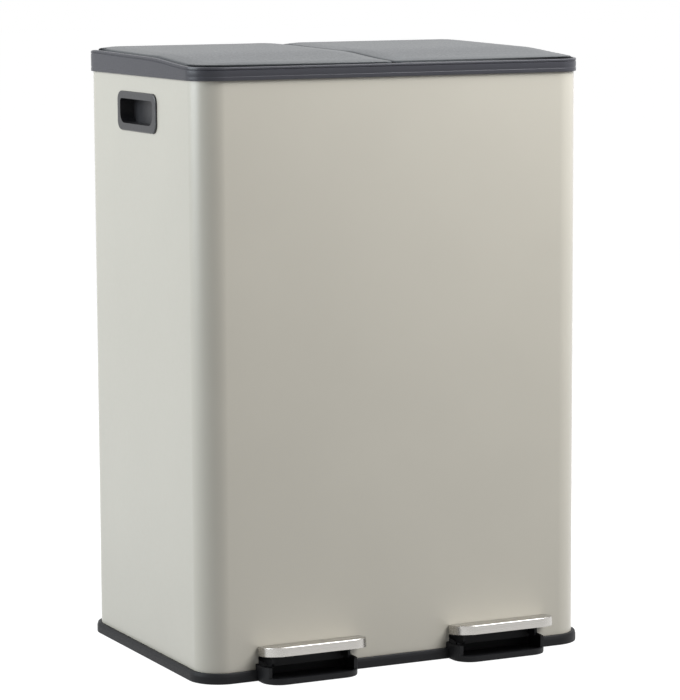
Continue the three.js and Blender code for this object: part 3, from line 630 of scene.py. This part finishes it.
def make_ring():
    return skin("base", levels(BODY_PLAN, [
        (RING_PROUD - 0.8, RING_BOTTOM), (RING_PROUD - 0.2, RING_BOTTOM + 0.2),
        (RING_PROUD, RING_BOTTOM + 0.8), (RING_PROUD, RING_SHOULDER - 0.5),
        (RING_PROUD - 0.15, RING_SHOULDER + 0.3), (RING_TOP_PROUD + 0.5, RING_TOP - 0.6),
        (RING_TOP_PROUD + 0.1, RING_TOP - 0.15), (RING_TOP_PROUD - 0.3, RING_TOP),
        (SEAT_GAP, RING_TOP), (SEAT_GAP, RING_SEAT), (-IN_WRAP, RING_SEAT), (-IN_WRAP, DECK_TOP),
        (-IN_WRAP - BASE_WALL, DECK_TOP), (-IN_WRAP - BASE_WALL, RING_BOTTOM),
    ]), closed=True)


def base_ribs():
    """Upright ribs under the deck, kept clear of the bays where the levers swing."""
    reach = HALF_D - IN_WRAP - BITE
    wide = HALF_W - IN_WRAP - BITE
    inner = BAY_X - RIB_FROM_BAY
    outer = BAY_X + RIB_FROM_BAY
    span = (RING_SEAT, DECK_UNDER + BITE)
    half = BASE_WALL / 2
    ribs = []
    for x in (0, -inner, inner, -outer, outer):
        ribs.append(block("rib", (x - half, x + half), (-reach, reach), span))
    for y in (-HALF_D / 2, 0, HALF_D / 2):
        for x in ((-inner, inner), (-wide, -outer), (outer, wide)):
            ribs.append(block("rib", x, (y - half, y + half), span))
    return ribs


def tray_plan(x):
    half = TRAY_WIDTH / 2
    corners = (TRAY_CORNER, TRAY_CORNER, 1, 1)
    return (x - half, x + half, -HALF_D - TRAY_REACH, -HALF_D + TRAY_INSIDE, corners)


def make_tray(x):
    return skin("tray", levels(tray_plan(x), [
        (-0.8, RING_BOTTOM), (-0.2, RING_BOTTOM + 0.2), (0, RING_BOTTOM + 0.8),
        (0, TRAY_WALL_TOP - 0.5), (-0.15, TRAY_WALL_TOP - 0.15), (-0.5, TRAY_WALL_TOP),
    ]))


def tray_cavity(x):
    left, right, front, back = tray_plan(x)[:4]
    top = NOTCH_TOP + SEAT_GAP
    prism = skin("cavity", levels(tray_plan(x), [(-TRAY_WALL, RING_BOTTOM), (-TRAY_WALL, top)]))
    wedge = side_plate("wedge", [(front, TRAY_FLOOR_FRONT), (-HALF_D, TRAY_FLOOR), (back, TRAY_FLOOR),
                                 (back, top + BITE), (front, top + BITE)], (left, right))
    return boolean(prism, wedge, "INTERSECT")


def tray_cuts(x):
    left, right, front, back = tray_plan(x)[:4]
    return [
        tray_cavity(x),
        block("mouth", (left - BITE, right + BITE), (front - BITE, front + TRAY_MOUTH),
              (TRAY_LIP, TRAY_WALL_TOP + BITE)),
        block("passage", (left + TRAY_WALL, right - TRAY_WALL), (back - TRAY_WALL - BITE, back + BITE),
              (TRAY_BACK_TOP, NOTCH_TOP + SEAT_GAP)),
    ]


def bay_shade_web(x):
    """A low web across the bay, behind the tray, that closes the view under the base. It is painted shade: a dark
    panel put where the floor under the bin lies in shade.
    """
    half = BASE_WALL / 2
    return block("web", (x - RIB_FROM_BAY, x + RIB_FROM_BAY), (SHADE_WEB_Y - half, SHADE_WEB_Y + half),
                 (RING_BOTTOM, TRAY_BACK_TOP))


def axle_lugs(x):
    shape = [(AXLE_Y + LUG_FOOT, DECK_UNDER + BITE), (AXLE_Y - LUG_FOOT, DECK_UNDER + BITE)]
    shape += arc(AXLE_Y, AXLE_Z, LUG_RADIUS, 180, sweep=180)
    return plate_pair("lug", shape, x, HUB_WIDTH / 2 + RUNNING_GAP, LUG_PLATE)


def rod_x(x):
    """The two faces of the push rod, beside its lever."""
    start = x + LEVER_PLATE / 2 + RUNNING_GAP
    return start, start + ROD_PLATE


FOOT_PLACES = [(x * (HALF_W - FOOT_INSET), y * (HALF_D - FOOT_INSET))
               for x, y in ((-1, -1), (1, -1), (1, 1), (-1, 1))]


def make_base():
    base = make_ring()
    deck = skin("deck", levels(BODY_PLAN, [(-IN_WRAP - BITE, DECK_UNDER), (-IN_WRAP - BITE, DECK_TOP)]))
    added(base, deck, *base_ribs())
    for x, y in FOOT_PLACES:
        added(base, turned("post", [(POST_RADIUS, RING_BOTTOM), (POST_RADIUS, DECK_UNDER + BITE)], x, y))
    for side in SIDES.values():
        # the web behind each tray is painted shade: a dark panel that stands for the shaded floor under the base
        added(base, make_tray(side * BAY_X), bay_shade_web(side * BAY_X), *axle_lugs(side * BAY_X))
    seat = FOOT_RADIUS + SEAT_GAP
    for x, y in FOOT_PLACES:
        cut(base, turned("seat", [(seat, 0), (seat, FOOT_HEIGHT + SEAT_GAP)], x, y))
    for side in SIDES.values():
        x = side * BAY_X
        left, right = rod_x(x)
        room = ROD_WIDTH / 2 + SLIDE_GAP
        cut(base, *tray_cuts(x),
            pin_x("bore", AXLE_RADIUS + SEAT_GAP, (x - HUB_WIDTH, x + HUB_WIDTH), AXLE_Y, AXLE_Z),
            block("hole", (left - SLIDE_GAP, right + SLIDE_GAP), (ROD_Y - room, ROD_Y + room),
                  (DECK_UNDER - BITE, DECK_TOP + BITE)))
    put(finish_surface(base, BASE_BLACK), "bin", "base")


def make_feet():
    for number, (x, y) in enumerate(FOOT_PLACES, 1):
        foot = turned(f"rubber_foot_{number}", [
            (FOOT_RADIUS - 1.6, 0), (FOOT_RADIUS - 1, 0.4), (FOOT_RADIUS, FOOT_HEIGHT - 0.3),
            (FOOT_RADIUS - 0.3, FOOT_HEIGHT),
        ], x, y)
        put(finish_surface(foot, RUBBER), "bin", f"foot_{number}")


# ------------------------------------------------------------------ rim

def rim_ring():
    inner = RIM_PROUD - RIM_WALL
    return skin("rim", levels(BODY_PLAN, [
        (SEAT_GAP, RIM_BOTTOM), (RIM_PROUD - 0.7, RIM_BOTTOM),
        (RIM_PROUD - 0.2, RIM_BOTTOM + 0.2), (RIM_PROUD, RIM_BOTTOM + 0.7),
        (RIM_PROUD, RIM_BOTTOM + RIM_STEP - 0.3), (RIM_PROUD - 0.3, RIM_BOTTOM + RIM_STEP),
        (RIM_PROUD - 0.3, RIM_BOTTOM + RIM_STEP + 0.4), (RIM_PROUD - 0.1, RIM_BOTTOM + RIM_STEP + 2),
        (RIM_PROUD, below_rim(6)), (RIM_PROUD - 0.05, below_rim(3.6)),
        (RIM_PROUD - 0.6, below_rim(3.2)), (RIM_PROUD - 0.6, below_rim(2.7)),
        (RIM_PROUD, below_rim(2.3)), (RIM_PROUD, below_rim(1.1)),
        (RIM_PROUD - 0.3, below_rim(0.35)), (RIM_PROUD - 1.1, below_rim(0)),
        (inner + 0.3, below_rim(0)), (inner, below_rim(0.3)),
        (inner, SHELF_TOP + 0.3), (inner - 0.3, SHELF_TOP),
        (-SHELF_WIDTH + 0.5, SHELF_TOP), (-SHELF_WIDTH, SHELF_TOP - 0.5),
        (-SHELF_WIDTH, SHELF_TOP - SHELF_PLATE), (-IN_WRAP - TONGUE_WALL, SHELF_TOP - SHELF_PLATE),
        (-IN_WRAP - TONGUE_WALL, TONGUE_BOTTOM), (-IN_WRAP, TONGUE_BOTTOM),
        (-IN_WRAP, WRAP_TOP + SEAT_GAP), (SEAT_GAP, WRAP_TOP + SEAT_GAP),
    ], divided=True), closed=True)


def hinge_places():
    return [side * x for side in SIDES.values() for x in HINGE_X]


def hinge_ears(x):
    shape = [(HINGE_Y - KNUCKLE_RADIUS - EAR_LEAN, SHELF_TOP - BITE), (HINGE_Y, SHELF_TOP - BITE)]
    shape += arc(HINGE_Y, HINGE_Z, KNUCKLE_RADIUS, -90, sweep=270, steps=24)
    return plate_pair("ear", shape, x, KNUCKLE_LENGTH / 2 + RUNNING_GAP, EAR_PLATE)


def hinge_bore(x, gap):
    return pin_x("bore", PIN_RADIUS + gap, (x - KNUCKLE_LENGTH, x + KNUCKLE_LENGTH), HINGE_Y, HINGE_Z)


def bumper_places():
    return [middle(*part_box(f"lid_bumper_{number}")) for number in range(1, 5)]


def make_rim():
    bay_front = -HALF_D + SHELF_WIDTH
    bay_back = HALF_D - REAR_LEDGE
    plate = (SHELF_TOP - SHELF_PLATE, SHELF_TOP)
    through = (SHELF_TOP - SHELF_PLATE - BITE, SHELF_TOP + BITE)
    inside = HALF_W - SHELF_WIDTH + BITE
    reach = HALF_D - IN_WRAP - BITE
    rim = rim_ring()
    added(rim,
          block("ledge", (-inside, inside), (bay_back, HALF_D - SHELF_WIDTH + BITE), plate),
          block("bar", (-CROSSBAR / 2, CROSSBAR / 2), (bay_front - BITE, bay_back + BITE), plate),
          block("web", (-CROSSBAR_WEB / 2, CROSSBAR_WEB / 2), (-reach, reach),
                (SHELF_TOP - CROSSBAR_DEPTH, SHELF_TOP - BITE)))
    for x in hinge_places():
        added(rim, *hinge_ears(x))
        cut(rim, hinge_bore(x, SEAT_GAP))
    for side in SIDES.values():
        left, right = rod_x(side * BAY_X)
        span = (left - LEVER_PLATE - RUNNING_GAP - SLIDE_GAP, right + RIVET_HEAD + SLIDE_GAP)
        cut(rim, block("slot", span, (bay_back - BITE, ROD_Y + CRANK_SLOT_BACK), through))
    for x, y in bumper_places():
        cut(rim, turned("stud", [(BUMPER_STEM, through[0]), (BUMPER_STEM, through[1])], x, y))
    put(finish_surface(rim, RIM_PLASTIC), "bin", "top_rim")


def make_bumpers():
    stem = BUMPER_STEM - SEAT_GAP
    for number, (x, y) in enumerate(bumper_places(), 1):
        low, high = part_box(f"lid_bumper_{number}")
        top = high[2] / MM
        seat = SHELF_TOP + SEAT_GAP
        bumper = turned(f"rubber_bumper_{number}", [
            (stem, low[2] / MM), (stem, seat), (BUMPER_RADIUS - 0.2, seat), (BUMPER_RADIUS, seat + 0.2),
            (BUMPER_RADIUS, top - 0.8), (BUMPER_RADIUS - 0.3, top - 0.2), (BUMPER_RADIUS - 1, top),
        ], x, y)
        put(finish_surface(bumper, RUBBER), "bin", f"lid_bumper_{number}")


# ------------------------------------------------------------------ lids

def lid_plan(side):
    inset = RIM_PROUD - RIM_WALL - LID_GAP
    outer = HALF_W + inset
    front = -HALF_D - inset
    back = HALF_D + RIM_PROUD - LID_BACK_GAP
    seam = SEAM_GAP / 2
    corner = CORNER + inset
    if side < 0:
        return (-outer, -seam, front, back, (corner, LID_SEAM_CORNER, LID_SEAM_CORNER, LID_REAR_CORNER))
    return (seam, outer, front, back, (LID_SEAM_CORNER, corner, LID_REAR_CORNER, LID_SEAM_CORNER))


def skirt_end(y):
    """Height of the lower edge of a lid's skirt, which is shallower over the hinges."""
    rear = smooth_share(y, TAIL_FROM - SKIRT_TAPER, HINGE_Y - KNUCKLE_RADIUS)
    return lid_edge(y) - (LID_SKIRT + (LID_REAR_SKIRT - LID_SKIRT) * rear)


def make_lid(name, side):
    lid = skin(f"{name}_lid_shell", levels(lid_plan(side), [
        (-24, below_lid(LID_WALL - LID_PILLOW)), (-5, below_lid(LID_WALL)),
        (-LID_WALL, below_lid(LID_WALL + 1)), (-LID_WALL, lambda y: skirt_end(y) + 0.3),
        (-LID_WALL + 0.4, skirt_end), (-0.4, skirt_end), (0, lambda y: skirt_end(y) + 0.4),
        (0, below_lid(2.4)), (-0.2, below_lid(1.5)), (-0.7, below_lid(0.8)),
        (-1.5, below_lid(0.35)), (-2.8, below_lid(0.1)), (-5, below_lid(-0.12)),
        (-10, below_lid(-0.62)), (-16, below_lid(-1.1)), (-22, below_lid(-1.34)),
        (-28, below_lid(-LID_PILLOW)),
    ], divided=True))
    for place in HINGE_X:
        x = side * place
        span = (x - KNUCKLE_LENGTH / 2, x + KNUCKLE_LENGTH / 2)
        added(lid,
              pin_x("knuckle", KNUCKLE_RADIUS, span, HINGE_Y, HINGE_Z),
              block("neck", span, (HINGE_Y - KNUCKLE_RADIUS, HINGE_Y + KNUCKLE_RADIUS),
                    (HINGE_Z, lid_edge(HINGE_Y) - BITE)))
        cut(lid, hinge_bore(x, RUNNING_GAP))
    put(finish_surface(lid, LID_PLASTIC), f"{name}_lid_body", f"{name}_lid")


def make_liner(name, side):
    """The shallow tray that closes the underside of a lid."""
    inset = LID_WALL + LINER_INSET
    left, right, front, _, corners = lid_plan(side)
    plan = (left, right, front, HALF_D - LINER_BACK + inset, corners)
    liner = skin(f"{name}_liner", levels(plan, [
        (-inset - 0.3, below_lid(LID_SKIRT)), (-inset, below_lid(LID_SKIRT - 0.3)),
        (-inset, below_lid(LID_SKIRT - LINER_DEPTH)),
        (-inset - LINER_PLATE, below_lid(LID_SKIRT - LINER_DEPTH)),
        (-inset - LINER_PLATE, below_lid(LID_SKIRT - LINER_PLATE)),
    ], divided=True))
    for number in (1, 2):
        low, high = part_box(f"{name}_crank_screw_{number}")
        x, y = middle(low, high)
        top = high[2] / MM
        cut(liner, turned("hole", [(SCREW_HOLE_RADIUS, top - SCREW_HOLE_DEPTH),
                                   (SCREW_HOLE_RADIUS, top + 2 * BITE)], x, y))
    put(finish_surface(liner, GREY_PLASTIC), f"{name}_lid_body", f"{name}_lid_liner")


# ------------------------------------------------------------------ pedals, buckets and grips

def pedal_place(x):
    """Turns a point drawn level round the axle into its place at rest."""
    cos = math.cos(math.radians(PEDAL_TILT))
    sin = math.sin(math.radians(PEDAL_TILT))

    def place(point):
        along, y, z = point
        return (x + along, AXLE_Y + y * cos + z * sin, AXLE_Z - y * sin + z * cos)

    return place


def make_cap(name, side):
    """A pressed steel cap with a rounded front edge, folded down on three sides."""
    left = CAP_SHIFT - CAP_WIDTH / 2
    plan = (left, left + CAP_WIDTH, -CAP_FRONT, -CAP_FRONT + CAP_DEPTH,
            (CAP_CORNER, CAP_CORNER, CAP_REAR_CORNER, CAP_REAR_CORNER))
    under = CAP_TOP - CAP_SHEET
    bottom = CAP_TOP - CAP_BAND
    place = pedal_place(side * BAY_X)
    cap = skin(f"{name}_cap", levels(plan, [
        (-CAP_SHEET - 0.3, under), (-CAP_SHEET, under - 0.3), (-CAP_SHEET, bottom), (-0.2, bottom),
        (0, bottom + 0.2), (0, CAP_TOP - 1.2), (-0.12, CAP_TOP - 0.7), (-0.4, CAP_TOP - 0.35),
        (-0.8, CAP_TOP - 0.1), (-1.3, CAP_TOP),
    ]), turn=place)
    opening = block("opening", (left + CAP_SHEET, left + CAP_WIDTH - CAP_SHEET),
                    (-CAP_FRONT + CAP_DEPTH - 2 * CAP_SHEET, 0), (bottom - BITE, under))
    for vertex in opening.data.vertices:
        level = (vertex.co.x / MM, (vertex.co.y - MID_Y) / MM, vertex.co.z / MM)
        vertex.co = metres(place(level))
    cut(cap, opening)
    put(finish_surface(cap, BRUSHED), f"{name}_pedal_body", f"{name}_pedal_cap")


def make_bucket(name, side):
    inner = CROSSBAR / 2 + BUCKET_CLEAR
    outer = HALF_W - SHELF_WIDTH - BUCKET_CLEAR
    across_x = (-outer, -inner) if side < 0 else (inner, outer)
    plan = (*across_x, -HALF_D + SHELF_WIDTH + BUCKET_CLEAR, HALF_D - REAR_LEDGE - BUCKET_CLEAR,
            (BUCKET_CORNER,) * 4)
    floor = DECK_TOP + SEAT_GAP
    low = -BUCKET_RIM - BUCKET_DRAFT
    hook = BUCKET_TOP - BUCKET_WALL
    waist = BUCKET_TOP - 2 * BUCKET_FLANGE
    wall = BUCKET_RIM + BUCKET_WALL
    bucket = skin(f"{name}_inner_bucket", levels(plan, [
        (low - BUCKET_BEVEL, floor), (low - 1.8, floor + 1.2),
        (low - 0.5, floor + 3), (low, floor + BUCKET_BEVEL),
        (-BUCKET_RIM, waist), (-BUCKET_RIM, hook),
        (-BUCKET_WALL, hook), (-BUCKET_WALL, BUCKET_TOP - BUCKET_FLANGE),
        (0, BUCKET_TOP - BUCKET_FLANGE), (0, BUCKET_TOP - 1.2),
        (-0.35, BUCKET_TOP - 0.35), (-1.2, BUCKET_TOP),
        (-wall + 1.2, BUCKET_TOP), (-wall + 0.35, BUCKET_TOP - 0.35),
        (-wall, BUCKET_TOP - 1.2), (-wall, waist),
        (low - BUCKET_WALL, floor + BUCKET_BEVEL + 1),
        (low - BUCKET_BEVEL - 1, floor + BUCKET_WALL),
    ]))
    put(finish_surface(bucket, GREY_PLASTIC), "bin", f"{name}_bucket")


def make_grip(name, side):
    """A finger recess clipped into the side of the wrap, with a rounded bezel."""
    def turn(point):
        y, z, out = point
        return (side * (HALF_W + out), y, z)

    def depth(inner, outer):
        return (side * (HALF_W + inner), side * (HALF_W + outer))

    def undercut(grow):
        half = POCKET_LENGTH / 2 - POCKET_SHOULDER + grow
        top = GRIP_Z + POCKET_HEIGHT / 2 + POCKET_UNDERCUT + grow
        left, right = GRIP_Y - half, GRIP_Y + half
        return [(left, GRIP_Z), (right, GRIP_Z), (right, top), (left, top)]

    grip = skin(f"{name}_side_grip", levels(BEZEL_PLAN, [
        (0, SEAT_GAP), (0, BEZEL_PROUD - 1.2), (-0.15, BEZEL_PROUD - 0.7),
        (-0.5, BEZEL_PROUD - 0.3), (-1, BEZEL_PROUD - 0.08), (-1.6, BEZEL_PROUD),
    ]), turn=turn)
    if side < 0:
        # the turn mirrors this side, which leaves its faces inside out
        grip.data.flip_normals()
    bottom = -POCKET_DEPTH - POCKET_WALL
    added(grip,
          side_plate("housing", outline(POCKET_PLAN, POCKET_WALL), depth(bottom, BEZEL_PROUD - 1)),
          side_plate("roof", undercut(POCKET_WALL), depth(bottom, -IN_WRAP)))
    cut(grip,
        side_plate("hollow", outline(POCKET_PLAN), depth(-POCKET_DEPTH, BEZEL_PROUD + 1)),
        side_plate("roof", undercut(0), depth(-POCKET_DEPTH, -IN_WRAP - POCKET_WALL)))
    put(finish_surface(grip, GRIP_BLACK, 0.25, 50), "bin", f"{name}_grip")


# ------------------------------------------------------------------ room, light and camera

AMBIENT = 0.1
FLOOR_SIZE = 40
FLOOR_GREY = 0.22
FLOOR_GLOW = 0.98

# place and target in metres, size, watts and colour of each lamp
LAMPS = {
    "left_softbox": ((-1.9, 0.45, 1.2), (-0.2, 0, 0.45), (1.4, 1.5), 51, (0.88, 0.95, 1)),
    "right_softbox": ((0.85, -0.85, 1.75), (0.15, -0.15, 0.62), (1.3, 1.3), 66, (0.97, 0.985, 1)),
    "top_softbox": ((-0.5, 0.9, 2.3), (0, 0, 0.35), (1.6, 1.2), 6, (1, 1, 1)),
}


def shows_background(material_or_world):
    """A socket that is 1 for camera, glossy and transmission rays."""
    nodes = material_or_world.node_tree.nodes
    links = material_or_world.node_tree.links
    path = nodes.new("ShaderNodeLightPath")
    source = path.outputs["Is Camera Ray"]
    for name in ("Is Glossy Ray", "Is Transmission Ray"):
        either = nodes.new("ShaderNodeMath")
        either.operation = "MAXIMUM"
        links.new(source, either.inputs[0])
        links.new(path.outputs[name], either.inputs[1])
        source = either.outputs[0]
    return source


def make_floor():
    """A pale floor that shows white, with the object's soft shadow on it."""
    bpy.ops.mesh.primitive_plane_add(size=FLOOR_SIZE)
    floor = bpy.context.object
    floor.name = "floor"
    material = bpy.data.materials.new("floor")
    material.use_nodes = True
    nodes = material.node_tree.nodes
    links = material.node_tree.links
    nodes.clear()
    output = nodes.new("ShaderNodeOutputMaterial")
    diffuse = nodes.new("ShaderNodeBsdfDiffuse")
    diffuse.inputs["Color"].default_value = (FLOOR_GREY, FLOOR_GREY, FLOOR_GREY, 1)
    glow = nodes.new("ShaderNodeEmission")
    glow.inputs["Strength"].default_value = FLOOR_GLOW
    black = nodes.new("ShaderNodeEmission")
    black.inputs["Strength"].default_value = 0
    mix = nodes.new("ShaderNodeMixShader")
    links.new(shows_background(material), mix.inputs["Fac"])
    links.new(black.outputs[0], mix.inputs[1])
    links.new(glow.outputs[0], mix.inputs[2])
    add = nodes.new("ShaderNodeAddShader")
    links.new(diffuse.outputs[0], add.inputs[0])
    links.new(mix.outputs[0], add.inputs[1])
    links.new(add.outputs[0], output.inputs["Surface"])
    floor.data.materials.append(material)


def make_world():
    """A dim even sky that cameras and reflections see as plain white."""
    world = bpy.data.worlds.new("studio")
    bpy.context.scene.world = world
    world.use_nodes = True
    nodes = world.node_tree.nodes
    links = world.node_tree.links
    sky = nodes["Background"]
    sky.inputs["Color"].default_value = (1, 1, 1, 1)
    sky.inputs["Strength"].default_value = AMBIENT
    seen = nodes.new("ShaderNodeBackground")
    seen.inputs["Color"].default_value = (1, 1, 1, 1)
    seen.inputs["Strength"].default_value = 1
    mix = nodes.new("ShaderNodeMixShader")
    links.new(shows_background(world), mix.inputs["Fac"])
    links.new(sky.outputs[0], mix.inputs[1])
    links.new(seen.outputs[0], mix.inputs[2])
    links.new(mix.outputs[0], nodes["World Output"].inputs["Surface"])


def softbox(name, place, target, size, power, color):
    data = bpy.data.lights.new(name, "AREA")
    data.shape = "RECTANGLE"
    data.size, data.size_y = size
    data.energy = power
    data.color = color
    lamp = bpy.data.objects.new(name, data)
    bpy.context.scene.collection.objects.link(lamp)
    lamp.location = place
    lamp.rotation_euler = (Vector(target) - Vector(place)).to_track_quat("-Z", "Y").to_euler()


def make_lights():
    for name, lamp in LAMPS.items():
        softbox(name, *lamp)


# camera of the photograph, in this script's millimetres
CAMERA_PLACE = (-1474.1, -3032.8, 767.8)
CAMERA_YAW = 26.05
CAMERA_PITCH = 7.615
CAMERA_ROLL = -0.287
FOCAL_PIXELS = 3126.8
IMAGE_SIZE = (680, 700)
SENSOR = 36.0


def make_camera():
    yaw, pitch, roll = [math.radians(angle) for angle in (CAMERA_YAW, CAMERA_PITCH, CAMERA_ROLL)]
    forward = Vector((math.sin(yaw) * math.cos(pitch), math.cos(yaw) * math.cos(pitch), -math.sin(pitch)))
    right = Vector((math.cos(yaw), -math.sin(yaw), 0))
    up = right.cross(forward)
    rolled_right = right * math.cos(roll) + up * math.sin(roll)
    rolled_up = up * math.cos(roll) - right * math.sin(roll)
    data = bpy.data.cameras.new("camera")
    data.sensor_width = SENSOR
    data.lens = FOCAL_PIXELS * SENSOR / max(IMAGE_SIZE)
    data.clip_end = 50
    camera = bpy.data.objects.new("camera", data)
    bpy.context.scene.collection.objects.link(camera)
    matrix = camera.matrix_world.copy()
    for column, axis in enumerate((rolled_right, rolled_up, -forward)):
        for row in range(3):
            matrix[row][column] = axis[row]
    matrix.translation = metres(CAMERA_PLACE)
    camera.matrix_world = matrix
    bpy.context.scene.camera = camera


# ------------------------------------------------------------------ the scene

bpy.context.scene.view_settings.view_transform = "Standard"
make_camera()
dress_frame()
make_wrap()
make_base()
make_feet()
make_rim()
make_bumpers()
for side_name, side_sign in SIDES.items():
    make_lid(side_name, side_sign)
    make_liner(side_name, side_sign)
    make_cap(side_name, side_sign)
    make_bucket(side_name, side_sign)
    make_grip(side_name, side_sign)
make_floor()
make_world()
make_lights()
